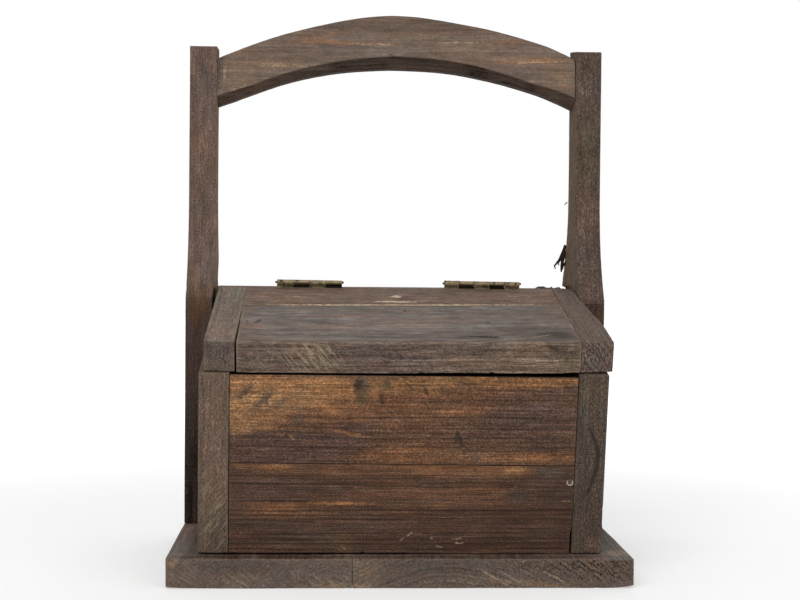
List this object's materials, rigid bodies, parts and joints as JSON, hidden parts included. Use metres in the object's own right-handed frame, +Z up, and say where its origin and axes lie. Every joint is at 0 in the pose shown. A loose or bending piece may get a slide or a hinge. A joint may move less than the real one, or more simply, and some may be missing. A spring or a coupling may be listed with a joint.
{
  "type": "kindling box",
  "caption": "Wooden kindling box with a hinged sloping lid on a plinth, carried by an arched bar between two posts.",
  "frame": {"origin": "on the floor, under the middle of the object's box", "axes": "+Z up, -Y is the front, +X to the right of someone facing the front"},
  "size_m": [0.405, 0.264, 0.5215],
  "materials": {
    "base_wood": "weathered, unfinished",
    "grey_wood": "weathered grey-brown, unfinished",
    "brown_wood": "dark reddish brown, worn to orange in places",
    "lid_wood": "weathered blue-grey, unfinished",
    "handle_wood": "brown, rubbed smooth by hands",
    "aged_brass": "dull, tarnished olive brown",
    "dark_iron": "dark, lightly rusted"
  },
  "bodies": {
    "box": {"base_board_left": "base_wood", "base_board_right": "base_wood", "side_board_left": "grey_wood", "side_board_right": "grey_wood", "upright_left": "grey_wood", "upright_right": "grey_wood", "front_board_lower": "brown_wood", "front_board_upper": "brown_wood", "back_board_lower": "brown_wood", "back_board_upper": "brown_wood", "hinge_rail": "lid_wood", "handle_bar": "handle_wood", "hinge_left_box_leaf": "aged_brass", "hinge_left_pin": "dark_iron", "hinge_left_box_screws": "aged_brass", "hinge_right_box_leaf": "aged_brass", "hinge_right_pin": "dark_iron", "hinge_right_box_screws": "aged_brass", "base_screws": "dark_iron", "side_nails_left": "dark_iron", "side_nails_right": "dark_iron", "post_screws_left": "dark_iron", "post_screws_right": "dark_iron", "handle_screws_left": "dark_iron", "handle_screws_right": "dark_iron", "rail_nails": "dark_iron", "front_tack": "dark_iron", "post_tack": "dark_iron"},
    "lid": {"lid_batten_left": "grey_wood", "lid_batten_right": "grey_wood", "lid_board_front": "lid_wood", "lid_board_back": "lid_wood", "lid_nails_left": "dark_iron", "lid_nails_right": "dark_iron", "hinge_left_lid_leaf": "aged_brass", "hinge_left_lid_screws": "aged_brass", "hinge_right_lid_leaf": "aged_brass", "hinge_right_lid_screws": "aged_brass"}
  },
  "joints": [
    {"name": "lid_hinge", "type": "hinge", "parent": "box", "child": "lid", "pos_m": [0, 0.0612, 0.2588], "axis": [-1, 0, 0], "range_deg": [0, 107]}
  ]
}
